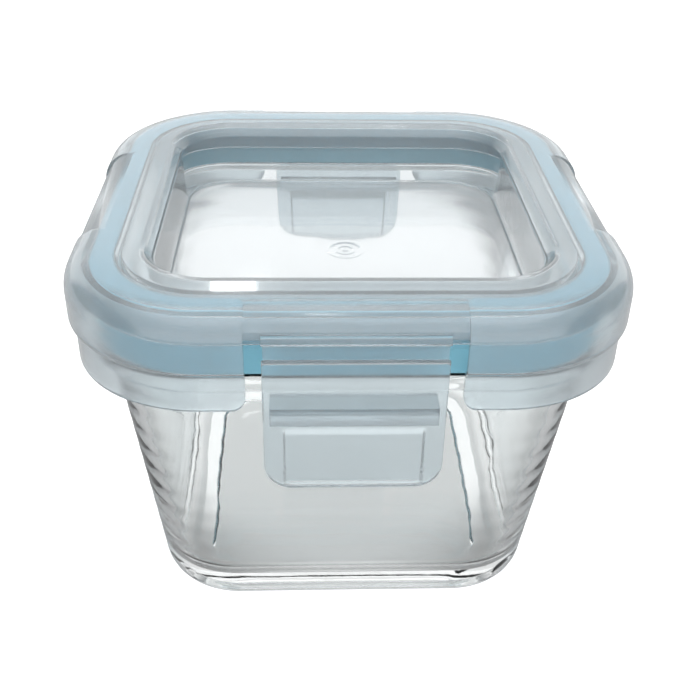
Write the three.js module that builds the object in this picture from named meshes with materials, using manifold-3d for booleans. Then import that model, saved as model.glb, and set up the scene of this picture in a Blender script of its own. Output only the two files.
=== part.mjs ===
// A square lidded food canister: a pressed glass bowl, a moulded lid with a silicone seal ring,
// and four latch flaps that hang from the lid on thin hinge webs and hook under the bowl's rim.
// Millimetres, +Z up. The origin is the centre of the bowl's base, and one latch faces -Y.
import * as THREE from 'three';
import Module from 'manifold-3d';
import { mergeVertices } from 'three/addons/utils/BufferGeometryUtils.js';

// Every section below is a list of [half width, height] points, swept around a rounded square.

// Overall sizes
const lidHalf = 60.8; // the lid's widest half width
const crownTop = 89.8; // top of the lid's raised rim
const arcSteps = 8; // flat facets in one rounded corner
const gap = 0.3; // clearance between pieces that touch

// Glass bowl
const baseRecess = 0.8; // hollow under the middle of the base
const baseRound = 6.6; // rounding from base to wall
const footInner = 34.2; // inner edge of the resting ring
const wallLowHalf = 45.8;
const wallTopHalf = 51.6;
const wallTopZ = 66;
const floorZ = 6.5; // inner floor, so the base is thick
const innerLowHalf = 42.8;
const innerRound = 6.3;
const flangeHalf = 54.6; // outward lip that the latches hook under
const flangeUnder = 68.8;
const flangeTop = 73;
const rimHalf = 52.2; // the upstanding rim that the seal closes on
const rimTop = 75.7;
const mouthHalf = 49.4;
const lowCorner = 26; // where the corner arcs are centred, low on the wall and at the rim
const wallTopCorner = 33;
const rimCorner = 31.5;

// Lid
const panHalf = 41; // the sunk middle panel
const panTop = 74.3;
const panEdgeHalf = 42;
const panEdgeZ = 87;
const skin = 1.4; // usual wall thickness
const skirtTopZ = 82.6; // where the rounded shoulder meets the skirt
const shoulderWide = 6.5;
const shoulderTall = 7;
const tierZ = 76.6; // the skirt steps in here
const lowerSkirtHalf = 59.1;
const skirtBottom = 67.4;
const grooveRoof = 87.6;
const grooveInner = 49.5; // the seal's groove lies between two ribs
const grooveOuter = 54.9;
const ribThick = 1.1;
const ribBottom = 81;
const outerCorner = 31.1; // corner arc centre at the lid's outside
const cornerShift = 2.5 / 18; // and how fast it moves inwards
const shoulderEase = 2; // the shoulder's corners are this much rounder

// Seal ring
const sealBottom = rimTop + gap;
const sealTop = grooveRoof - gap;
const sealLip = 1.2;

// Latches, one in the middle of each side
const notchHalf = 21.6; // half width of the notch in the lid's skirt
const notchFace = 59.2;
const notchShoulder = [[53.6, 89.7], [55.8, 89.15], [57.2, 88.35], [58.4, 87.2], [notchFace, 86]];
const notchUnder = 84.3;
const notchDeep = 56.9;
const latchHalf = 18.3;
const latchInner = 59;
const latchOuter = 60.6;
const latchTop = 79.8;
const latchBottom = 48.9;
const latchCornerRound = 6;
const hookHalf = 17;
const hookTip = 53;
const hookTop = flangeUnder - 0.4;
const hookBottom = 64.2;
const gripHalf = 14.4; // the thinned finger grip in the tab
const gripTop = 64.8;
const gripDepth = 0.9;
const gripSlope = 3;
const lipTall = 1;
const ledgeOuter = 60;
const ledgeTop = 85.2;
const ledgeUnder = 83.4;
const webInner = 58.95;
const webOuter = 59.5;
const webHalf = 18;

const wasm = await Module();
wasm.setup();

// A closed geometry as a solid, for a cut or a join.
function toSolid(geometry) {
  const bare = geometry.index ? geometry.clone().toNonIndexed() : geometry.clone();
  bare.deleteAttribute('normal');
  bare.deleteAttribute('uv');
  const merged = mergeVertices(bare, 1e-4);
  return new wasm.Manifold(new wasm.Mesh({
    numProp: 3,
    vertProperties: new Float32Array(merged.attributes.position.array),
    triVerts: new Uint32Array(merged.index.array),
  }));
}

function toGeometry(solid) {
  const mesh = solid.getMesh();
  const geometry = new THREE.BufferGeometry();
  geometry.setAttribute('position', new THREE.BufferAttribute(new Float32Array(mesh.vertProperties), 3));
  geometry.setIndex(new THREE.BufferAttribute(new Uint32Array(mesh.triVerts), 1));
  geometry.computeVertexNormals();
  return geometry;
}

// One level outline: a square of the given half width whose corner arcs are centred at +-corner.
function roundedSquare(half, corner, z) {
  const points = [];
  const signs = [[1, 1], [-1, 1], [-1, -1], [1, -1]];
  signs.forEach(([sx, sy], quarter) => {
    for (let step = 0; step <= arcSteps; step += 1) {
      const angle = (quarter + step / arcSteps) * Math.PI / 2;
      const radius = half - corner;
      points.push([sx * corner + radius * Math.cos(angle), sy * corner + radius * Math.sin(angle), z]);
    }
  });
  return points;
}

// Joins outlines into one closed skin. The list runs from the underside outwards, up, and back in.
// An open list is closed by a flat face at each end, and a ring joins its last outline to its first.
function loft(outlines, isRing) {
  const count = outlines[0].length;
  const vertices = outlines.flat(2);
  const faces = [];
  const last = isRing ? outlines.length : outlines.length - 1;
  for (let row = 0; row < last; row += 1) {
    const here = row * count;
    const next = ((row + 1) % outlines.length) * count;
    for (let k = 0; k < count; k += 1) {
      const k2 = (k + 1) % count;
      faces.push(here + k, here + k2, next + k2, here + k, next + k2, next + k);
    }
  }
  if (!isRing) {
    const top = (outlines.length - 1) * count;
    for (let k = 1; k < count - 1; k += 1) {
      faces.push(0, k + 1, k, top, top + k, top + k + 1);
    }
  }
  const geometry = new THREE.BufferGeometry();
  geometry.setAttribute('position', new THREE.Float32BufferAttribute(vertices, 3));
  geometry.setIndex(faces);
  geometry.computeVertexNormals();
  return geometry;
}

// Points along an elliptical arc in a section, angles in degrees.
function arc(centreHalf, centreZ, wide, tall, from, to, steps) {
  const points = [];
  for (let step = 0; step <= steps; step += 1) {
    const angle = THREE.MathUtils.degToRad(from + (to - from) * step / steps);
    points.push([centreHalf + wide * Math.cos(angle), centreZ + tall * Math.sin(angle)]);
  }
  return points;
}

// The bowl's corners open out from the base to the top of the wall, then tighten at the flange.
function glassCorner(z) {
  const rise = THREE.MathUtils.clamp((z - baseRound) / (wallTopZ - baseRound), 0, 1);
  return z > flangeUnder - 1 ? rimCorner : lowCorner + (wallTopCorner - lowCorner) * rise;
}

function lidCorner(half) {
  return outerCorner - cornerShift * (lidHalf - half);
}

function glassBowl() {
  const section = [
    [footInner - 1, baseRecess],
    [footInner, 0],
    ...arc(wallLowHalf - baseRound, baseRound, baseRound, baseRound, -90, 0, 5),
    [wallTopHalf, wallTopZ],
    [wallTopHalf + 0.3, flangeUnder - 0.9],
    [wallTopHalf + 0.7, flangeUnder],
    [flangeHalf - 0.4, flangeUnder + 0.1],
    [flangeHalf, flangeUnder + 0.5],
    [flangeHalf, flangeTop - 0.5],
    [flangeHalf - 0.5, flangeTop],
    [rimHalf + 0.2, flangeTop + 0.2],
    [rimHalf, flangeTop + 0.6],
    [rimHalf, rimTop - 0.7],
    [rimHalf - 0.6, rimTop],
    [mouthHalf + 0.6, rimTop],
    [mouthHalf, rimTop - 0.7],
    [mouthHalf - 0.5, flangeUnder - 1],
    ...arc(innerLowHalf - innerRound, floorZ + innerRound, innerRound, innerRound, 0, -90, 4),
  ];
  return loft(section.map(([half, z]) => roundedSquare(half, glassCorner(z), z)), false);
}

function lidBlank() {
  const shoulderCentre = lidHalf - shoulderWide;
  const insideHalf = lidHalf - skin;
  const eased = ([half, z]) => [half, z, lidCorner(half) - shoulderEase];
  const section = [
    [panHalf + 0.9, panTop - skin],
    [panHalf + 2.1, panTop - 0.3],
    [panEdgeHalf + skin, panEdgeZ - 1.2],
    [panEdgeHalf + 2, panEdgeZ - 0.6],
    [grooveInner - ribThick, grooveRoof - 0.2],
    [grooveInner - ribThick, ribBottom],
    [grooveInner, ribBottom],
    [grooveInner, grooveRoof],
    [grooveOuter, grooveRoof],
    [grooveOuter, ribBottom],
    [grooveOuter + 1, ribBottom],
    [grooveOuter + 1, grooveRoof - 0.6],
    ...arc(shoulderCentre, skirtTopZ, shoulderWide - skin, shoulderTall - 1.9, 54, 0, 4).map(eased),
    eased([insideHalf, tierZ + 0.4]),
    [lowerSkirtHalf - 1.2, tierZ - 0.3],
    [lowerSkirtHalf - 1.2, skirtBottom],
    [lowerSkirtHalf, skirtBottom],
    [lowerSkirtHalf, tierZ - 0.4],
    eased([lidHalf, tierZ + 0.1]),
    ...arc(shoulderCentre, skirtTopZ, shoulderWide, shoulderTall, 0, 90, 6).map(eased),
    [51, crownTop],
    [46, crownTop],
    [panEdgeHalf + 2.3, crownTop - 0.5],
    [panEdgeHalf + 0.9, panEdgeZ + 1.2],
    [panEdgeHalf, panEdgeZ],
    [panEdgeHalf - 0.4, panTop + 1],
    [panHalf, panTop],
  ];
  return loft(section.map(([half, z, corner = lidCorner(half)]) => roundedSquare(half, corner, z)), false);
}

// A solid with the given side section ([distance outwards, height] points), width across the front
// side of the object.
function acrossFront(section, halfWidth) {
  const shape = new THREE.Shape(section.map(([out, z]) => new THREE.Vector2(out, z)));
  const geometry = new THREE.ExtrudeGeometry(shape, { depth: 2 * halfWidth, bevelEnabled: false, steps: 1 });
  geometry.translate(0, 0, -halfWidth);
  const outwards = new THREE.Vector3(0, -1, 0);
  const up = new THREE.Vector3(0, 0, 1);
  const across = new THREE.Vector3(-1, 0, 0);
  return geometry.applyMatrix4(new THREE.Matrix4().makeBasis(outwards, up, across));
}

function turned(geometry, side) {
  return geometry.clone().rotateZ(side * Math.PI / 2);
}

// The lid with a notch in the middle of each side, and in it the ledge that the hinge web hangs from.
function lidShell() {
  const far = lidHalf + 3;
  const low = skirtBottom - 2;
  const high = crownTop + 2;
  const trim = acrossFront([
    [notchFace, low],
    [far, low],
    [far, high],
    [notchShoulder[0][0], high],
    ...notchShoulder,
  ], notchHalf);
  const notch = acrossFront([
    [notchDeep, low],
    [far, low],
    [far, notchUnder],
    [notchDeep, notchUnder],
  ], notchHalf);
  const ledge = acrossFront([
    [notchFace - 1.4, ledgeTop - 0.6],
    [notchFace - 0.7, ledgeUnder],
    [ledgeOuter, ledgeUnder],
    [ledgeOuter, ledgeTop - 0.3],
    [ledgeOuter - 0.3, ledgeTop],
    [notchFace - 1, ledgeTop],
  ], latchHalf);
  let solid = toSolid(lidBlank());
  for (let side = 0; side < 4; side += 1) {
    solid = solid.subtract(toSolid(turned(trim, side)));
    solid = solid.subtract(toSolid(turned(notch, side)));
    solid = solid.add(toSolid(turned(ledge, side)));
  }
  return toGeometry(solid);
}

function sealRing() {
  const inner = grooveInner + gap;
  const outer = grooveOuter - gap;
  const section = [
    [inner + 0.5, sealBottom],
    [outer - sealLip, sealBottom],
    [outer - sealLip, flangeTop + 0.5],
    [outer - 0.3, flangeTop + gap],
    [outer, flangeTop + 0.6],
    [outer, sealTop - 0.5],
    [outer - 0.5, sealTop],
    [inner + 0.5, sealTop],
    [inner, sealTop - 0.5],
    [inner, sealBottom + 0.5],
  ];
  return loft(section.map(([half, z]) => roundedSquare(half, lidCorner(half), z)), true);
}

// The tab's front outline, with rounded lower corners, as a prism that trims the flap.
function tabOutline() {
  const r = latchCornerRound;
  const shape = new THREE.Shape();
  shape.moveTo(-latchHalf, latchTop + 1);
  shape.lineTo(-latchHalf, latchBottom + r);
  shape.absarc(-latchHalf + r, latchBottom + r, r, Math.PI, Math.PI * 1.5, false);
  shape.lineTo(latchHalf - r, latchBottom);
  shape.absarc(latchHalf - r, latchBottom + r, r, Math.PI * 1.5, Math.PI * 2, false);
  shape.lineTo(latchHalf, latchTop + 1);
  const geometry = new THREE.ExtrudeGeometry(shape, { depth: 5, bevelEnabled: false, curveSegments: 6 });
  geometry.translate(0, 0, latchInner - 1);
  const across = new THREE.Vector3(1, 0, 0);
  const up = new THREE.Vector3(0, 0, 1);
  const outwards = new THREE.Vector3(0, -1, 0);
  return geometry.applyMatrix4(new THREE.Matrix4().makeBasis(across, up, outwards));
}

// One flap: a flat plate with a chamfered top, a hook rib inside and a thinned grip in the tab.
function latchFlap() {
  const chamfer = 0.8;
  const plate = acrossFront([
    [latchInner, latchBottom],
    [latchOuter, latchBottom],
    [latchOuter, latchTop - chamfer],
    [latchOuter - chamfer, latchTop],
    [latchInner, latchTop],
  ], latchHalf + 1);
  const hook = acrossFront([
    [latchInner + 0.5, hookBottom],
    [latchInner + 0.5, hookTop],
    [hookTip + 0.4, hookTop],
    [hookTip, hookTop - 0.4],
    [hookTip, hookTop - 1.4],
    [hookTip + 0.5, hookTop - 2],
    [latchInner, hookBottom],
  ], hookHalf);
  const floor = latchOuter - gripDepth;
  const far = latchOuter + 0.5;
  const slope = gripSlope / gripDepth;
  const grip = acrossFront([
    [far, latchBottom + lipTall],
    [far, gripTop + 0.5 * slope],
    [floor, gripTop - gripSlope],
    [floor, latchBottom + lipTall],
  ], gripHalf);
  const trimmed = toSolid(plate).intersect(toSolid(tabOutline()));
  return toGeometry(trimmed.add(toSolid(hook)).subtract(toSolid(grip)));
}

// The thin flexing strip between the lid's ledge and the flap.
function hingeWeb() {
  return acrossFront([
    [webInner, latchTop + gap],
    [webOuter, latchTop + gap],
    [webOuter, ledgeUnder - gap],
    [webInner, ledgeUnder - gap],
  ], webHalf);
}

function clearGlass() {
  return new THREE.MeshStandardMaterial({ color: 0xd3dcda, roughness: 0.04, metalness: 0 });
}

function milkyPlastic() {
  return new THREE.MeshStandardMaterial({ color: 0xcfd9dc, roughness: 0.35, metalness: 0 });
}

function blueSilicone() {
  return new THREE.MeshStandardMaterial({ color: 0x7fb3c8, roughness: 0.5, metalness: 0 });
}

function named(name, geometry, material) {
  const mesh = new THREE.Mesh(geometry, material);
  mesh.name = name;
  return mesh;
}

function latchGroup(side, where) {
  const group = new THREE.Group();
  group.rotation.z = side * Math.PI / 2;
  group.add(named(`latch_${where}`, latchFlap(), milkyPlastic()));
  group.add(named(`hinge_web_${where}`, hingeWeb(), milkyPlastic()));
  return group;
}

const canister = new THREE.Group();
canister.name = 'lidded_glass_canister';
canister.add(named('glass_bowl', glassBowl(), clearGlass()));
canister.add(named('lid_shell', lidShell(), milkyPlastic()));
canister.add(named('seal_ring', sealRing(), blueSilicone()));
['front', 'right', 'back', 'left'].forEach((where, side) => canister.add(latchGroup(side, where)));

export default canister;
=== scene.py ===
import math

import bpy
import numpy as np
from mathutils import Matrix, Vector


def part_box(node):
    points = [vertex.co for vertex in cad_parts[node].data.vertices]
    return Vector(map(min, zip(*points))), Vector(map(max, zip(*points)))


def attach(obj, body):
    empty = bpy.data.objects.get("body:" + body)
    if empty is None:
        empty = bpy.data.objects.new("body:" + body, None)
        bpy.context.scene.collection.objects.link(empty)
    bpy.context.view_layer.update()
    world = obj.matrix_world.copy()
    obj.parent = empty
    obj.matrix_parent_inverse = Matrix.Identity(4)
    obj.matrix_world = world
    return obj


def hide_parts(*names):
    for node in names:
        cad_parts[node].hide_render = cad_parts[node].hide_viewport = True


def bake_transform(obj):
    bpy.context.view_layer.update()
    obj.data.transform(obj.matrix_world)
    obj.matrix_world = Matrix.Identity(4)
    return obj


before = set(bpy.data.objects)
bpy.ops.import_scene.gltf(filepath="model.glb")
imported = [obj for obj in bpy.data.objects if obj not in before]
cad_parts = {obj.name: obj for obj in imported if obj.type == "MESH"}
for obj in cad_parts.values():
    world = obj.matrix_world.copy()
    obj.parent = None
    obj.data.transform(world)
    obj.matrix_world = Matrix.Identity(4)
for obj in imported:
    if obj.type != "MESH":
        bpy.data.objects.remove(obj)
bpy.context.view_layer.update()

# A square glass canister with a milky lid, a blue seal ring and four latches.
# Shapes are worked out in millimetres and put into the meshes in metres.
mm = 0.001
sides = ["front", "right", "back", "left"]  # each is the one before turned a quarter about Z


def nodeBox(node):
    low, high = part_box(node)
    return np.array(low) / mm, np.array(high) / mm


bowlHigh = nodeBox("glass_bowl")[1]
lidLow, lidHigh = nodeBox("lid_shell")
sealLow, sealHigh = nodeBox("seal_ring")
latchLow, latchHigh = nodeBox("latch_front")
webLow, webHigh = nodeBox("hinge_web_front")


# A section through a wall: straight runs between corners (half width, height, radius, spacing),
# each corner rounded by an arc, and each run cut into steps no longer than its spacing.
def roundedSection(corners, arcStep=11.0):
    points = np.array([c[:2] for c in corners], float)
    pieces = [points[:1]]
    for k in range(1, len(corners) - 1):
        if corners[k][2] == 0:
            pieces.append(fillRun(pieces[-1][-1], points[k], corners[k - 1][3]))
            pieces.append(points[k:k + 1])
            continue
        toBack = points[k - 1] - points[k]
        toNext = points[k + 1] - points[k]
        toBack = toBack / np.linalg.norm(toBack)
        toNext = toNext / np.linalg.norm(toNext)
        halfAngle = math.acos(np.clip(toBack @ toNext, -1, 1)) / 2
        radius = corners[k][2]
        middle = toBack + toNext
        centre = points[k] + middle / np.linalg.norm(middle) * radius / math.sin(halfAngle)
        first = points[k] + toBack * radius / math.tan(halfAngle) - centre
        last = points[k] + toNext * radius / math.tan(halfAngle) - centre
        start = math.atan2(first[1], first[0])
        turn = (math.atan2(last[1], last[0]) - start + math.pi) % (2 * math.pi) - math.pi
        steps = max(2, math.ceil(abs(math.degrees(turn)) / arcStep) + 1)
        angles = start + turn * np.linspace(0, 1, steps)
        arcPoints = centre + radius * np.column_stack([np.cos(angles), np.sin(angles)])
        pieces.append(fillRun(pieces[-1][-1], arcPoints[0], corners[k - 1][3]))
        pieces.append(arcPoints)
    pieces.append(fillRun(pieces[-1][-1], points[-1], corners[-2][3]))
    pieces.append(points[-1:])
    return np.vstack(pieces)


# Points on an ellipse from one angle to another, in degrees.
def ellipse(centre, z, wide, tall, start, end, steps):
    angles = np.radians(np.linspace(start, end, steps))
    return np.column_stack([centre + wide * np.cos(angles), z + tall * np.sin(angles)])


# The points between a and b, evenly spaced, without a and b themselves.
def fillRun(a, b, spacing):
    steps = max(1, math.ceil(np.linalg.norm(b - a) / spacing))
    part = np.arange(1, steps)[:, None] / steps
    return a + (b - a) * part


# Rounded squares, one for each section point: straight sides at the half width, joined by
# arcs centred at +-corner. Returns x and y as (section points, points round) arrays.
def roundedSquares(half, corner, sideSteps, arcSteps):
    along = np.linspace(-1, 1, sideSteps, endpoint=False)
    angle = np.linspace(0, math.pi / 2, arcSteps, endpoint=False)
    h = half[:, None]
    c = corner[:, None]
    x = np.hstack([h + 0 * along, c + (h - c) * np.cos(angle)])
    y = np.hstack([c * along, c + (h - c) * np.sin(angle)])
    return np.hstack([x, -y, -x, y]), np.hstack([y, x, -y, -x])


# Quads between the rows of a (rows, columns) grid of points that closes on itself round each row.
def gridFaces(rows, columns, closeRows=False):
    index = np.arange(rows * columns).reshape(rows, columns)
    below = index if closeRows else index[:-1]
    above = np.roll(index, -1, 0) if closeRows else index[1:]
    return np.stack([below, np.roll(below, -1, 1), np.roll(above, -1, 1), above], -1).reshape(-1, 4)


# A mesh object from points in millimetres, with quads and any wider faces that close its ends.
def makePiece(name, points, quads, caps=()):
    mesh = bpy.data.meshes.new(name)
    faces = quads.tolist() + [list(map(int, cap)) for cap in caps]
    mesh.from_pydata((points * mm).tolist(), [], faces)
    mesh.update()
    piece = bpy.data.objects.new(name, mesh)
    bpy.context.scene.collection.objects.link(piece)
    return piece


# The section swept round the canister. shift is a function that moves the grid's points.
def sweptPiece(name, section, cornerOf, sideSteps, arcSteps, isRing=False, shift=None):
    half, z = section[:, 0], section[:, 1]
    x, y = roundedSquares(half, cornerOf(half, z), sideSteps, arcSteps)
    points = np.stack([x, y, np.broadcast_to(z[:, None], x.shape)], -1)
    if shift is not None:
        points = shift(points)
    rows, columns = x.shape
    last = (rows - 1) * columns
    caps = [] if isRing else [np.arange(columns)[::-1], last + np.arange(columns)]
    return makePiece(name, points.reshape(-1, 3), gridFaces(rows, columns, isRing), caps)


# An outline (a, b) carried from c = start to c = end, closed by a flat face at each end.
# place turns the columns a, b, c into x, y, z.
def prismPoints(outline, start, end, place):
    count = len(outline)
    ends = np.repeat([start, end], count)[:, None]
    points = place(np.hstack([np.vstack([outline, outline]), ends]))
    return points, gridFaces(2, count), [np.arange(count)[::-1], count + np.arange(count)]


# Turned from the front about Z by a quarter for each side.
def turned(points, side):
    angle = side * math.pi / 2
    x, y, z = points.T
    c, s = math.cos(angle), math.sin(angle)
    return np.column_stack([x * c - y * s, x * s + y * c, z])


# The same prism on every side of the canister, as one mesh.
def prismsAllRound(name, outline, start, end, place):
    points, quads, caps = prismPoints(outline, start, end, place)
    count = len(points)
    allPoints = np.vstack([turned(points, side) for side in range(4)])
    allQuads = np.vstack([quads + side * count for side in range(4)])
    allCaps = [cap + side * count for side in range(4) for cap in caps]
    piece = makePiece(name, allPoints, allQuads, allCaps)
    facesOut(piece)
    return piece


def facesOut(piece):
    bpy.context.view_layer.objects.active = piece
    piece.select_set(True)
    bpy.ops.object.mode_set(mode="EDIT")
    bpy.ops.mesh.select_all(action="SELECT")
    bpy.ops.mesh.normals_make_consistent(inside=False)
    bpy.ops.object.mode_set(mode="OBJECT")
    piece.select_set(False)


def applyModifiers(piece):
    graph = bpy.context.evaluated_depsgraph_get()
    finished = bpy.data.meshes.new_from_object(piece.evaluated_get(graph))
    piece.modifiers.clear()
    piece.data = finished


# Cuts or joins another mesh, which is then thrown away.
def combine(piece, other, how):
    tool = piece.modifiers.new(how.lower(), "BOOLEAN")
    tool.operation = how
    tool.solver = "EXACT"
    tool.object = other
    applyModifiers(piece)
    bpy.data.objects.remove(other)


def softenEdges(piece, width, angle):
    bevel = piece.modifiers.new("edges", "BEVEL")
    bevel.width = width * mm
    bevel.segments = 2
    bevel.limit_method = "ANGLE"
    bevel.angle_limit = math.radians(angle)
    applyModifiers(piece)


def shadeSmooth(piece, angle=35):
    mesh = piece.data
    mesh.polygons.foreach_set("use_smooth", np.ones(len(mesh.polygons), bool))
    mesh.set_sharp_from_angle(angle=math.radians(angle))


# Sections across the front are (distance outwards, height), carried along the front, which faces -Y.
def acrossFront(p):
    return np.column_stack([p[:, 2], -p[:, 0], p[:, 1]])


# Outlines on the front are (x, height), carried outwards.
def outFromFront(p):
    return np.column_stack([p[:, 0], -p[:, 2], p[:, 1]])


def newMaterial(name):
    material = bpy.data.materials.new(name)
    material.use_nodes = True
    return material, material.node_tree, material.node_tree.nodes["Principled BSDF"]


# Moulded or pressed unevenness: a slow wave and a fine grain, both as a height and as a mask.
def buildUnevenness():
    group = bpy.data.node_groups.new("unevenness", "ShaderNodeTree")
    for name in ("Wave Scale", "Grain Scale", "Grain Share"):
        group.interface.new_socket(name, in_out="INPUT", socket_type="NodeSocketFloat")
    for name in ("Height", "Mask"):
        group.interface.new_socket(name, in_out="OUTPUT", socket_type="NodeSocketFloat")
    start = group.nodes.new("NodeGroupInput")
    end = group.nodes.new("NodeGroupOutput")
    place = group.nodes.new("ShaderNodeTexCoord")
    wave = group.nodes.new("ShaderNodeTexNoise")
    wave.inputs["Detail"].default_value = 2
    grain = group.nodes.new("ShaderNodeTexNoise")
    grain.inputs["Detail"].default_value = 4
    mix = group.nodes.new("ShaderNodeMix")
    link = group.links.new
    link(place.outputs["Object"], wave.inputs["Vector"])
    link(place.outputs["Object"], grain.inputs["Vector"])
    link(start.outputs["Wave Scale"], wave.inputs["Scale"])
    link(start.outputs["Grain Scale"], grain.inputs["Scale"])
    link(start.outputs["Grain Share"], mix.inputs["Factor"])
    link(wave.outputs["Fac"], mix.inputs[2])
    link(grain.outputs["Fac"], mix.inputs[3])
    link(mix.outputs[0], end.inputs["Height"])
    link(wave.outputs["Fac"], end.inputs["Mask"])
    return group


unevenness = buildUnevenness()


def addUnevenness(tree, waveScale, grainScale, grainShare):
    node = tree.nodes.new("ShaderNodeGroup")
    node.node_tree = unevenness
    node.inputs["Wave Scale"].default_value = waveScale
    node.inputs["Grain Scale"].default_value = grainScale
    node.inputs["Grain Share"].default_value = grainShare
    return node


# A value that runs from first to last as another goes from start to end.
def spread(tree, value, start, end, first=0, last=1, isSmooth=False):
    ramp = tree.nodes.new("ShaderNodeMapRange")
    ramp.interpolation_type = "SMOOTHSTEP" if isSmooth else "LINEAR"
    ramp.inputs["From Min"].default_value = start
    ramp.inputs["From Max"].default_value = end
    ramp.inputs["To Min"].default_value = first
    ramp.inputs["To Max"].default_value = last
    tree.links.new(value, ramp.inputs["Value"])
    return ramp.outputs["Result"]


def combineValues(tree, operation, a, b):
    node = tree.nodes.new("ShaderNodeMath")
    node.operation = operation
    tree.links.new(a, node.inputs[0])
    tree.links.new(b, node.inputs[1])
    return node.outputs[0]


# Goes from the first colour to the second with the factor. Each is a fixed colour or an output.
def mixColours(tree, factor, first, second):
    mix = tree.nodes.new("ShaderNodeMix")
    mix.data_type = "RGBA"
    tree.links.new(factor, mix.inputs["Factor"])
    for socket, colour in ((mix.inputs[6], first), (mix.inputs[7], second)):
        if isinstance(colour, tuple):
            socket.default_value = (*colour, 1)
        else:
            tree.links.new(colour, socket)
    return mix.outputs[2]


def addBump(tree, height, strength, distance):
    bump = tree.nodes.new("ShaderNodeBump")
    bump.inputs["Strength"].default_value = strength
    bump.inputs["Distance"].default_value = distance * mm
    tree.links.new(height, bump.inputs["Height"])
    return bump.outputs["Normal"]


# noise is the wave scale, grain scale and grain share of the unevenness. colours and roughness run
# with its mask, bump is a strength and a distance in millimetres, and shader holds plain values.
finishes = {
    "pressedGlass": {
        "noise": (45, 400, 0.08),
        "colours": ((0.955, 0.975, 0.972), (0.972, 0.985, 0.982)),
        # painted shade at the glass's edges, and the facing range over which it comes in
        "paintedEdgeShade": (0.22, 0.31, 0.34),
        "paintedEdgeShadeFacing": (0.6, 0.95),
        "roughness": (0.0, 0.02),
        "bump": (0.12, 0.5),
        "shader": {"Transmission Weight": 1, "IOR": 1.5},
    },
    "milkyPlastic": {
        "noise": (70, 1500, 0.3),
        "colours": ((0.80, 0.885, 0.925), (0.84, 0.915, 0.95)),
        "roughness": (0.14, 0.22),
        "bump": (0.15, 0.2),
        "shader": {"Transmission Weight": 0.87, "IOR": 1.49, "Coat Weight": 0.8, "Coat Roughness": 0.06},
    },
    "clearPlastic": {
        "noise": (40, 700, 0.1),
        "colours": ((0.80, 0.825, 0.84), (0.82, 0.845, 0.86)),
        "roughness": (0.03, 0.07),
        "bump": (0.1, 0.4),
        "shader": {"Transmission Weight": 0.86, "IOR": 1.49},
    },
    "blueSilicone": {
        "noise": (90, 2500, 0.5),
        "colours": ((0.32, 0.74, 0.92), (0.36, 0.78, 0.94)),
        "roughness": (0.38, 0.5),
        "bump": (0.2, 0.1),
        "shader": {},
    },
}


def makeFinish(name):
    finish = finishes[name]
    material, tree, shader = newMaterial(name)
    uneven = addUnevenness(tree, *finish["noise"])
    mask = uneven.outputs["Mask"]
    colour = mixColours(tree, mask, *finish["colours"])
    if "paintedEdgeShade" in finish:  # painted shade: the glass is coloured darker where its surface turns away from the camera, in place of the dark surroundings seen through its edges
        weight = tree.nodes.new("ShaderNodeLayerWeight")
        paintedShadeAtEdge = spread(tree, weight.outputs["Facing"], *finish["paintedEdgeShadeFacing"])
        colour = mixColours(tree, paintedShadeAtEdge, colour, finish["paintedEdgeShade"])
    tree.links.new(colour, shader.inputs["Base Color"])
    tree.links.new(spread(tree, mask, 0.3, 0.7, *finish["roughness"]), shader.inputs["Roughness"])
    tree.links.new(addBump(tree, uneven.outputs["Height"], *finish["bump"]), shader.inputs["Normal"])
    for socket, value in finish["shader"].items():
        shader.inputs[socket].default_value = value
    return material


glassFinish = makeFinish("pressedGlass")
milkyFinish = makeFinish("milkyPlastic")
clearFinish = makeFinish("clearPlastic")
sealFinish = makeFinish("blueSilicone")
print("materials made")


# The glass bowl: half widths outwards from the middle, and heights.
bowl = {
    "foot": 34.6,  # inner edge of the resting ring
    "recess": 0.8,
    "wallBottom": 45.15,  # where the wall line would meet the ground
    "baseRound": 6.6,
    "wallTop": 51.7,
    "wallTopZ": 67.9,
    "flangeUnder": 68.8,
    "flangeTop": 73.0,
    "rim": 52.2,
    "mouth": 49.4,
    "floorZ": 6.5,
    "floorHalf": 42.1,
    "lowCorner": 26.0,
    "highCorner": 33.0,
    "rimCorner": 31.5,
    "rippleStep": 5.8,  # height of one ripple on the outer corners
    "rippleDepth": 0.045,
    "rippleLow": 5.0,  # where the ripples start, and the height they take to grow
    "rippleGrow": 6.0,
}


# From the middle of the underside, out and up the wall, over the flange and rim, and down inside.
def bowlSection():
    flange = bowlHigh[0]
    top = bowlHigh[2]
    return roundedSection([
        (0.5, bowl["recess"], 0, 6),
        (bowl["foot"] - 1, bowl["recess"], 0.5, 1),
        (bowl["foot"], 0, 0.5, 1),
        (bowl["wallBottom"], 0, bowl["baseRound"], 0.6),
        (bowl["wallTop"], bowl["wallTopZ"], 0.8, 1),
        (bowl["wallTop"] + 0.6, bowl["flangeUnder"], 0.3, 1),
        (flange, bowl["flangeUnder"] + 0.1, 0.7, 1),
        (flange, bowl["flangeTop"], 0.9, 1),
        (bowl["rim"], bowl["flangeTop"] + 0.2, 0.5, 1),
        (bowl["rim"], top, 0.8, 1),
        (bowl["mouth"], top, 0.9, 1),
        (bowl["mouth"] - 0.4, bowl["flangeUnder"], 8, 1.5),
        (bowl["floorHalf"], bowl["floorZ"], 6.3, 3),
        (0.5, bowl["floorZ"], 0, 6),
    ])


# Corner arcs open out from the base to the top of the wall, then tighten into the flange.
def bowlCorner(half, z):
    heights = [0, bowl["baseRound"], bowl["wallTopZ"] - 4, bowl["flangeUnder"], bowlHigh[2]]
    low, high, rim = bowl["lowCorner"], bowl["highCorner"], bowl["rimCorner"]
    near = np.interp(half, [0, 12, 34], [0, 0, 1])
    return np.interp(z, heights, [low, low, high, rim, rim]) * near


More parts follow.
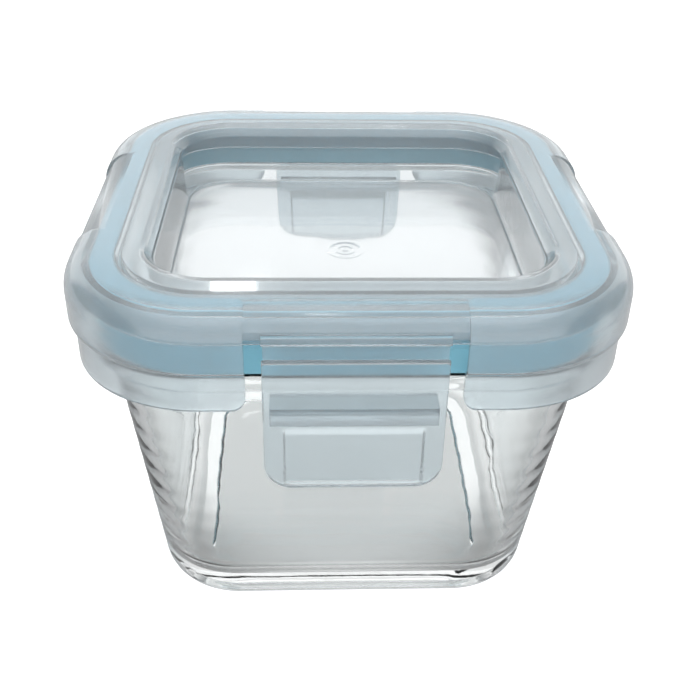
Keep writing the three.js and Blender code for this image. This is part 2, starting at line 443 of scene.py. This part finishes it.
# Shallow level ripples on the outside of the corners: a sine of height, strongest where x = y,
# fading to nothing at the middle of the walls, at the foot and under the flange.
def bowlRipples(points):
    x, y, z = points[..., 0], points[..., 1], points[..., 2]
    wide = np.maximum(np.abs(x), np.abs(y))
    narrow = np.minimum(np.abs(x), np.abs(y))
    atCorner = np.clip((narrow / np.maximum(wide, 1) - 0.35) / 0.4, 0, 1)
    wallLine = bowl["wallBottom"] + (bowl["wallTop"] - bowl["wallBottom"]) * z / bowl["wallTopZ"]
    outside = np.clip((np.maximum(wide, (np.abs(x) + np.abs(y)) / 1.6) - wallLine + 2.2) / 0.6, 0, 1)
    rising = np.clip((z - bowl["rippleLow"]) / bowl["rippleGrow"], 0, 1)
    ending = np.clip((bowl["wallTopZ"] - 1 - z) / 3, 0, 1)
    depth = bowl["rippleDepth"] * atCorner * outside * rising * ending
    inwards = depth * (0.5 - 0.5 * np.cos(2 * math.pi * z / bowl["rippleStep"]))
    radius = np.maximum(np.hypot(x, y), 1)
    moved = points.copy()
    moved[..., 0] -= x / radius * inwards
    moved[..., 1] -= y / radius * inwards
    return moved


bowlPiece = sweptPiece("bowl_glass_wall", bowlSection(), bowlCorner, 20, 32, shift=bowlRipples)
bowlPiece.data.materials.append(glassFinish)
shadeSmooth(bowlPiece)
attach(bowlPiece, "bowl")
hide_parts("glass_bowl")
print("bowl made")


# The lid: a clear sunk panel, a crown, a skirt in two tiers, and a notch for each latch.
lid = {
    "panHalf": 41.0,
    "panTop": 74.3,
    "sag": 0.7,
    "gateMark": ((4.2, 0.09, 0.35), (2.1, 0.1, 0.3), (0, 0.12, 0.7), (0, -0.12, 8)),
    "edgeHalf": 42.0,
    "edgeZ": 87.0,
    "skin": 1.4,
    "tierZ": 76.5,
    "lowerSkirt": 59.1,
    "shoulderWide": 6.5,
    "shoulderTall": 7.0,
    "shoulderZ": 82.6,
    "grooveRoof": 87.6,
    "grooveInner": 49.5,
    "grooveOuter": 54.9,
    "rib": 1.1,
    "ribBottom": 81.0,
    "outerCorner": 31.1,
    "cornerShift": 2.5 / 18,
    "shoulderEase": 2.0,
    "notchHalf": 21.6,
    "notchFace": 59.2,
    "notchDeep": 56.9,
    "notchUnder": 84.3,
    "notchFlare": 3.5,
    "ledgeOuter": 60.0,
    "ledgeTop": 85.2,
    "ledgeUnder": 83.2,
    "edgeSoft": 0.25,
}


# From the middle of the underside, out through the groove and the skirt, and back over the top.
def lidSection():
    top = lidHigh[2]
    out = lidHigh[0]
    skirt = lid["lowerSkirt"]
    low = lidLow[2]
    roof = lid["grooveRoof"]
    rib = lid["rib"]
    under = lid["panTop"] - lid["skin"]
    wide, tall, shoulderZ = lid["shoulderWide"], lid["shoulderTall"], lid["shoulderZ"]
    inside = roundedSection([
        (0.4, under, 0, 3),
        (lid["panHalf"] + 2.0, under, 1.6, 1),
        (lid["edgeHalf"] + lid["skin"], lid["edgeZ"] - 0.9, 0.6, 1),
        (lid["edgeHalf"] + 2.6, roof + 0.5, 0.5, 1),
        (lid["grooveInner"] - rib, roof + 0.5, 0.4, 1),
        (lid["grooveInner"] - rib, lid["ribBottom"], 0.3, 2),
        (lid["grooveInner"], lid["ribBottom"], 0.3, 2),
        (lid["grooveInner"], roof, 0.3, 2),
        (lid["grooveOuter"], roof, 0.3, 2),
        (lid["grooveOuter"], lid["ribBottom"], 0.3, 2),
        (lid["grooveOuter"] + 1, lid["ribBottom"], 0.3, 2),
        (lid["grooveOuter"] + 1, roof - 0.3, 0, 1),
    ])
    skirtWalls = roundedSection([
        (out - lid["skin"], shoulderZ, 0, 1.5),
        (out - lid["skin"], lid["tierZ"] + 0.4, 0.3, 1.5),
        (skirt - 1.2, lid["tierZ"] - 0.3, 0.3, 1.5),
        (skirt - 1.2, low, 0.35, 1.5),
        (skirt, low, 0.35, 1.5),
        (skirt, lid["tierZ"] - 0.4, 0.4, 1),
        (out, lid["tierZ"] + 0.2, 0.5, 1.5),
        (out, shoulderZ - 0.2, 0, 1.5),
    ])
    centre = out - wide
    innerArc = ellipse(centre, shoulderZ, wide - lid["skin"], tall - 1.9, 62, 6, 8)
    outerArc = ellipse(centre, shoulderZ, wide, tall, 0, 90, 16)
    crown = roundedSection([
        (52.5, top - 0.06, 0, 1),
        (51, top, 0, 1.5),
        (lid["edgeHalf"] + 2.0, top, 1.6, 1),
        (lid["edgeHalf"], lid["edgeZ"], 0.25, 1),
        (lid["panHalf"], lid["panTop"], 0.7, 1.5),
        (8, lid["panTop"], 0, 0.35),
        (0.4, lid["panTop"], 0, 1),
    ])
    return np.vstack([inside, innerArc, skirtWalls, outerArc, crown])


# The shoulder's corners, outside and inside, are a little rounder than those of the other walls.
def lidCorner(half, z):
    outside = np.interp(half, [51, 54.3], [0, 1]) * (z > 88.2)
    inside = np.interp(half, [56, 57], [0, 1]) * (z > lid["tierZ"] - 0.2)
    eased = lid["shoulderEase"] * np.maximum(outside, inside)
    centre = lid["outerCorner"] - lid["cornerShift"] * (lidHigh[0] - half) - eased
    return centre * np.interp(half, [0, 10, 36], [0, 0, 1])


# The panel sags a little, and has a gate mark in its middle: two fine rings and a nub in a dish,
# each a bell curve of the distance from the middle (radius, height, width).
def gateMark(points):
    x, y, z = points[..., 0], points[..., 1], points[..., 2]
    radius = np.hypot(x, y)
    onTop = (np.abs(z - lid["panTop"]) < 0.05) & (np.maximum(np.abs(x), np.abs(y)) < 40)
    mark = sum(tall * np.exp(-((radius - at) / wide) ** 2) for at, tall, wide in lid["gateMark"])
    reach = lid["panHalf"] - 2
    sag = -lid["sag"] * np.clip(1 - (x / reach) ** 2, 0, 1) * np.clip(1 - (y / reach) ** 2, 0, 1)
    moved = points.copy()
    moved[..., 2] += np.where(onTop, mark + sag, 0)
    return moved


# A notch in the skirt: straight sides that flare out in a quarter circle at the skirt's lower edge.
def notchOutline():
    half, flare, low = lid["notchHalf"], lid["notchFlare"], lidLow[2]
    angle = np.linspace(0, math.pi / 2, 9)
    right = np.column_stack([half + flare - flare * np.cos(angle), low + flare - flare * np.sin(angle)])
    bottom = [[half + flare, low - 2], [-half - flare, low - 2]]
    left = right[::-1] * [-1, 1]
    top = [[-half, lid["notchUnder"]], [half, lid["notchUnder"]]]
    return np.vstack([right, bottom, left, top])


# A bar with eased edges, rooted behind the notch's face.
def ledgeSection():
    face, outer, top, under = lid["notchFace"], lid["ledgeOuter"], lid["ledgeTop"], lid["ledgeUnder"]
    return np.array([
        [face - 1.4, top - 0.5], [face - 0.7, under], [outer - 0.2, under], [outer, under + 0.2],
        [outer, top - 0.5], [outer - 0.15, top - 0.15], [outer - 0.5, top], [face - 1, top],
    ])


# Cuts a notch through the skirt on each side, trims the shoulder above it back to the notch's face
# along a copy of the shoulder's curve, and joins on the ledge that the hinge strip hangs from.
def cutNotches(piece):
    far = lidHigh[0] + 3
    cutter = prismsAllRound("notch", notchOutline(), lid["notchDeep"], far, outFromFront)
    combine(piece, cutter, "DIFFERENCE")
    face, half = lid["notchFace"], lid["notchHalf"]
    curve = ellipse(face - 5.7, lid["shoulderZ"], lid["shoulderWide"], lid["shoulderTall"], 92, 28, 12)
    trim = np.vstack([curve, [[face, 80], [far, 80], [far, 95], [curve[0, 0], 95]]])
    combine(piece, prismsAllRound("trim", trim, -half, half, acrossFront), "DIFFERENCE")
    bar = prismsAllRound("ledge", ledgeSection(), -latchHigh[0], latchHigh[0], acrossFront)
    combine(piece, bar, "UNION")


# The panel and its wall are polished clear, and the rest of the lid is milky.
def markClearFaces(piece):
    mesh = piece.data
    centres = np.empty(len(mesh.polygons) * 3)
    mesh.polygons.foreach_get("center", centres)
    centres = centres.reshape(-1, 3) / mm
    reach = np.maximum(np.abs(centres[:, 0]), np.abs(centres[:, 1]))
    isClear = (reach < lid["edgeHalf"] + lid["skin"] + 0.2) & (centres[:, 2] < lid["edgeZ"] - 0.1)
    mesh.polygons.foreach_set("material_index", isClear.astype(np.int32))


lidPiece = sweptPiece("lid_moulding", lidSection(), lidCorner, 20, 26, shift=gateMark)
lidPiece.data.materials.append(milkyFinish)
lidPiece.data.materials.append(clearFinish)
cutNotches(lidPiece)
softenEdges(lidPiece, lid["edgeSoft"], 50)
markClearFaces(lidPiece)
shadeSmooth(lidPiece)
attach(lidPiece, "lid")
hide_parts("lid_shell")
print("lid made")


# The seal: a block in the lid's groove with a waist outside and a lip that hangs past the rim.
seal = {"gap": 0.3, "lip": 1.2, "waistLow": 3.2, "waistHigh": 7.2, "waistDepth": 0.35, "soft": 0.5}


# A closed section, so it starts and ends at the middle of its straight inner face.
def sealSection():
    inner = lid["grooveInner"] + seal["gap"]
    outer = sealHigh[0]
    waist = outer - seal["waistDepth"]
    bottom = bowlHigh[2] + seal["gap"]
    corners = [
        (inner, bottom, seal["soft"], 1),
        (outer - seal["lip"], bottom, 0.3, 1),
        (outer - seal["lip"], sealLow[2], 0.4, 1),
        (outer, sealLow[2], 0.5, 1),
        (outer, bottom + seal["waistLow"], 0.5, 1),
        (waist, bottom + seal["waistLow"] + 0.8, 0.4, 1),
        (waist, bottom + seal["waistHigh"] - 0.8, 0.4, 1),
        (outer, bottom + seal["waistHigh"], 0.4, 1),
        (outer, sealHigh[2], seal["soft"], 1),
        (inner, sealHigh[2], seal["soft"], 1),
    ]
    middle = (inner, (bottom + sealHigh[2]) / 2, 0, 1)
    return roundedSection([middle] + corners + [middle])[:-1]


sealPiece = sweptPiece("silicone_seal", sealSection(), lidCorner, 12, 20, isRing=True)
sealPiece.data.materials.append(sealFinish)
shadeSmooth(sealPiece)
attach(sealPiece, "lid")
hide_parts("seal_ring")
print("seal made")


# The latches: a flap with a sunk grip outside and a hook inside, hung on a thin strip.
latch = {
    "inner": 59.0,
    "outer": 60.6,
    "cornerRound": 6.0,
    "topRound": 0.8,
    "edgeRound": 0.4,
    "hookHalf": 17.0,
    "hookTip": 53.0,
    "hookTop": 68.4,
    "hookBottom": 64.2,
    "gripHalf": 14.4,
    "gripTop": 64.8,
    "gripSlope": 3.0,
    "gripDepth": 0.9,
    "lip": 1.0,
    "columns": 90,
    "rows": 90,
}


# Steps from 0 to 1 that crowd together at both ends, as a cosine does.
def crowded(count):
    return 0.5 - 0.5 * np.cos(np.linspace(0, math.pi, count))


def smoothStep(value, start, end):
    part = np.clip((value - start) / (end - start), 0, 1)
    return part * part * (3 - 2 * part)


# How far a point of the flap is inside its outline, a rectangle with rounded lower corners.
def insideFlap(x, z):
    isLow = z < (latchLow[2] + latchHigh[2]) / 2
    r = np.where(isLow, latch["cornerRound"], latch["topRound"])
    halfHeight = (latchHigh[2] - latchLow[2]) / 2
    dx = np.abs(x) - latchHigh[0] + r
    dz = np.abs(z - latchLow[2] - halfHeight) - halfHeight + r
    return r - np.hypot(np.maximum(dx, 0), np.maximum(dz, 0)) - np.minimum(np.maximum(dx, dz), 0)


# A plate as two grids of points, outer and inner, joined by a strip round their edge.
def platePoints(x, z, outer, inner):
    rows, columns = x.shape
    front = np.stack([x, -outer, z], -1).reshape(-1, 3)
    back = np.stack([x, -inner, z], -1).reshape(-1, 3)
    index = np.arange(rows * columns).reshape(rows, columns)
    face = np.stack([index[:-1, :-1], index[:-1, 1:], index[1:, 1:], index[1:, :-1]], -1).reshape(-1, 4)
    edge = np.concatenate([index[0, :-1], index[:-1, -1], index[-1, :0:-1], index[:0:-1, 0]])
    after = np.roll(edge, -1)
    count = rows * columns
    strip = np.stack([after, edge, edge + count, after + count], -1)
    return np.vstack([front, back]), np.vstack([face, face[:, ::-1] + count, strip])


# The flap's points crowd towards its edges, which are rounded by an arc of the depth inside the
# outline. The grip is sunk by a smooth step of the height and of the distance from its sides.
def flapPlate():
    low, high, r = latchLow[2], latchHigh[2], latch["cornerRound"]
    z = (low + (high - low) * crowded(latch["rows"]))[:, None]
    drop = np.clip(low + r - z, 0, r)
    half = latchHigh[0] - r + np.sqrt(r * r - drop * drop)
    x = half * (2 * crowded(latch["columns"]) - 1)[None, :]
    z = np.broadcast_to(z, x.shape)
    e = latch["edgeRound"]
    inside = np.clip(insideFlap(x, z), 0, e)
    edge = e - np.sqrt(np.maximum(e * e - (e - inside) ** 2, 0))
    slope = smoothStep(latch["gripTop"] - z, 0, latch["gripSlope"])
    across = 1 - smoothStep(np.abs(x), latch["gripHalf"] - 0.5, latch["gripHalf"])
    above = smoothStep(z, low + latch["lip"] - 0.2, low + latch["lip"] + 0.3)
    grip = latch["gripDepth"] * slope * across * above
    return platePoints(x, z, latch["outer"] - edge - grip, latch["inner"] + edge)


# A hook with a level top that catches under the flange and a slope below it, rooted in the flap.
def hookSection():
    tip, top, bottom, root = latch["hookTip"], latch["hookTop"], latch["hookBottom"], latch["inner"]
    corners = [
        (root + 0.6, bottom, 0, 2), (root + 0.6, top, 0.01, 2), (tip, top, 0.5, 2),
        (tip, top - 1.9, 0.5, 2), (root, bottom, 0.8, 2), (root + 0.6, bottom - 0.05, 0, 2),
    ]
    return roundedSection(corners)[:-1]


def makeFlap(side):
    points, quads = flapPlate()
    flap = makePiece(f"latch_flap_{sides[side]}", turned(points, side), quads)
    half = latch["hookHalf"]
    hookPoints, hookQuads, hookCaps = prismPoints(hookSection(), -half, half, acrossFront)
    hook = makePiece("hook", turned(hookPoints, side), hookQuads, hookCaps)
    facesOut(hook)
    facesOut(flap)
    combine(flap, hook, "UNION")
    flap.data.materials.clear()
    flap.data.materials.append(milkyFinish)
    shadeSmooth(flap)
    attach(flap, f"latch_{sides[side]}")
    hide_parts(f"latch_{sides[side]}")


# The thin strip that bends: fine steps from the ledge down to the flap's top edge, thinnest halfway
# by a sine of the height.
def makeWeb(side):
    top = lid["ledgeUnder"] - 0.02
    bottom = latchHigh[2] + 0.02
    x, z = np.meshgrid(webHigh[0] * np.linspace(-1, 1, 13), np.linspace(bottom, top, 25))
    waist = 0.12 * np.sin(math.pi * (z - bottom) / (top - bottom))
    points, quads = platePoints(x, z, -webLow[1] - waist, np.full_like(x, -webHigh[1]))
    web = makePiece(f"hinge_strip_{sides[side]}", turned(points, side), quads)
    facesOut(web)
    web.data.materials.append(milkyFinish)
    shadeSmooth(web)
    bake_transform(web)
    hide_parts(f"hinge_web_{sides[side]}")


for side in range(4):
    makeFlap(side)
    makeWeb(side)
print("latches made")


# The floor has painted light in a patch under and behind the object, paler and glowing, with painted shade
# beyond it: the patch's half sizes and how far back its middle is, in millimetres, and how many times wider
# it is where it has faded out.
stage = {
    "floorSize": 8.0,
    "noise": (6, 60, 0.2),
    # painted light: the floor's colour in the lit patch under and behind the object, and how much it glows
    # there
    "paintedLightPool": ((0.79, 0.79, 0.795), (0.82, 0.82, 0.825)),
    "paintedPoolGlow": 0.42,
    # painted shade: the darker floor beyond the lit patch, and how much it glows there
    "around": (0.36, 0.365, 0.37),
    "paintedGlow": 0.12,
    "poolWide": 66,
    "poolDeep": 130,
    "poolBack": 108,
    "poolEdge": 1.3,
}

# How the room's light changes with the direction. Each change has where it starts and ends along
# one axis, and its value before and after. The first two add up, and the rest scale their sum.
room = {
    "low": (0.44, 0.48, 0.2, 0.0),
    "overhead": (0.7, 0.9, 0.85, 1.9),
    "screens": (0.75, 0.85, 1.0, 0.15),  # dark screens at the sides
    "screenTops": (0.5, 0.7, 0.0, 1.0),  # and how they end below the overhead light
    "front": (-0.9, -0.2, 1.45, 1.0),
}

# Small lamps that give crisp highlights, aimed at the middle of the bowl's rim, in metres and watts.
lamps = {
    "overheadPanel": {
        "direction": (0.107, -0.156, 0.988),
        "distance": 0.9,
        "width": 0.06,
        "height": 0.04,
        "power": 0.15,
    },
    "windowBehind": {
        "direction": (-0.1155, 1.05, 0.620),
        "distance": 1.225,
        "width": 0.064,
        "height": 0.03,
        "power": 0.09,
    },
}


# Seen straight by the camera, the floor and the room are plain white.
def whiteToCamera(tree, light):
    rays = tree.nodes.new("ShaderNodeLightPath")
    return combineValues(tree, "MAXIMUM", light, rays.outputs["Is Camera Ray"])


def makeFloor():
    size = stage["floorSize"] / 2 / mm
    corners = np.array([[-size, -size, 0], [size, -size, 0], [size, size, 0], [-size, size, 0]])
    floor = makePiece("floor", corners, np.array([[0, 1, 2, 3]]))
    material, tree, shader = newMaterial("paleFloor")
    uneven = addUnevenness(tree, *stage["noise"])
    paintedLightPool = mixColours(tree, uneven.outputs["Mask"], *stage["paintedLightPool"])
    wide, deep, back = stage["poolWide"] * mm, stage["poolDeep"] * mm, stage["poolBack"] * mm
    place = tree.nodes.new("ShaderNodeTexCoord")
    scaled = tree.nodes.new("ShaderNodeVectorMath")
    scaled.operation = "MULTIPLY_ADD"
    scaled.inputs[1].default_value = (1 / wide, 1 / deep, 0)
    scaled.inputs[2].default_value = (0, -back / deep, 0)
    tree.links.new(place.outputs["Object"], scaled.inputs[0])
    away = tree.nodes.new("ShaderNodeVectorMath")
    away.operation = "LENGTH"
    tree.links.new(scaled.outputs["Vector"], away.inputs[0])
    # painted light and shade: paler and glowing more under and behind the object, darker and glowing less
    # beyond
    outside = spread(tree, away.outputs["Value"], 1, stage["poolEdge"], isSmooth=True)
    paintedGlow = spread(tree, outside, 0, 1, stage["paintedPoolGlow"], stage["paintedGlow"])
    tree.links.new(mixColours(tree, outside, paintedLightPool, stage["around"]), shader.inputs["Base Color"])
    tree.links.new(whiteToCamera(tree, paintedGlow), shader.inputs["Emission Strength"])
    shader.inputs["Emission Color"].default_value = (1, 1, 1, 1)
    shader.inputs["Roughness"].default_value = 0.9
    shader.inputs["Specular IOR Level"].default_value = 0.1
    floor.data.materials.append(material)


def makeWorld():
    world = bpy.data.worlds.new("studio")
    bpy.context.scene.world = world
    world.use_nodes = True
    tree = world.node_tree
    background = tree.nodes["Background"]
    place = tree.nodes.new("ShaderNodeTexCoord")
    split = tree.nodes.new("ShaderNodeSeparateXYZ")
    tree.links.new(place.outputs["Generated"], split.inputs[0])
    x, y, z = split.outputs
    sideways = tree.nodes.new("ShaderNodeMath")
    sideways.operation = "ABSOLUTE"
    tree.links.new(x, sideways.inputs[0])

    def change(name, along):
        return spread(tree, along, *room[name], isSmooth=True)

    above = combineValues(tree, "ADD", change("low", z), change("overhead", z))
    screens = combineValues(tree, "MAXIMUM", change("screens", sideways.outputs[0]), change("screenTops", z))
    light = combineValues(tree, "MULTIPLY", above, screens)
    light = combineValues(tree, "MULTIPLY", light, change("front", y))
    tree.links.new(whiteToCamera(tree, light), background.inputs["Strength"])
    background.inputs["Color"].default_value = (1, 1, 1, 1)


def softbox(name, direction, distance, width, height, power):
    data = bpy.data.lights.new(name, "AREA")
    data.shape = "RECTANGLE"
    data.size = width
    data.size_y = height
    data.energy = power
    lamp = bpy.data.objects.new(name, data)
    bpy.context.scene.collection.objects.link(lamp)
    aim = Vector((0, 0, bowlHigh[2] * mm))
    lamp.location = aim + Vector(direction).normalized() * distance
    lamp.rotation_euler = (aim - lamp.location).to_track_quat("-Z", "Y").to_euler()


# The camera looks down at the front, a little from the left, with a slight tilt of the frame.
view = {
    "aim": (1.76, 0, 44.3),
    "distance": 261.8,
    "elevation": 32.5,
    "yaw": 2.9,
    "roll": 1.375,
    "lens": 51.46,
}


def makeCamera():
    up = math.radians(view["elevation"])
    yaw = math.radians(view["yaw"])
    roll = math.radians(view["roll"])
    back = Vector((-math.sin(yaw) * math.cos(up), -math.cos(yaw) * math.cos(up), math.sin(up)))
    right = (-back).cross(Vector((0, 0, 1))).normalized()
    top = back.cross(right)
    tiltedRight = right * math.cos(roll) + top * math.sin(roll)
    tiltedTop = top * math.cos(roll) - right * math.sin(roll)
    turn = Matrix((tiltedRight, tiltedTop, back)).transposed()
    data = bpy.data.cameras.new("camera")
    data.lens = view["lens"]
    data.sensor_width = 36
    data.clip_start = 0.01
    camera = bpy.data.objects.new("camera", data)
    bpy.context.scene.collection.objects.link(camera)
    place = (Vector(view["aim"]) + back * view["distance"]) * mm
    camera.matrix_world = Matrix.Translation(place) @ turn.to_4x4()
    bpy.context.scene.camera = camera


makeFloor()
makeWorld()
for name, lamp in lamps.items():
    softbox(name, **lamp)
makeCamera()

scene = bpy.context.scene
scene.view_settings.view_transform = "Standard"
scene.cycles.max_bounces = 24
scene.cycles.transmission_bounces = 24
scene.cycles.glossy_bounces = 8
scene.cycles.sample_clamp_indirect = 4
scene.cycles.transparent_max_bounces = 16
print("stage made")
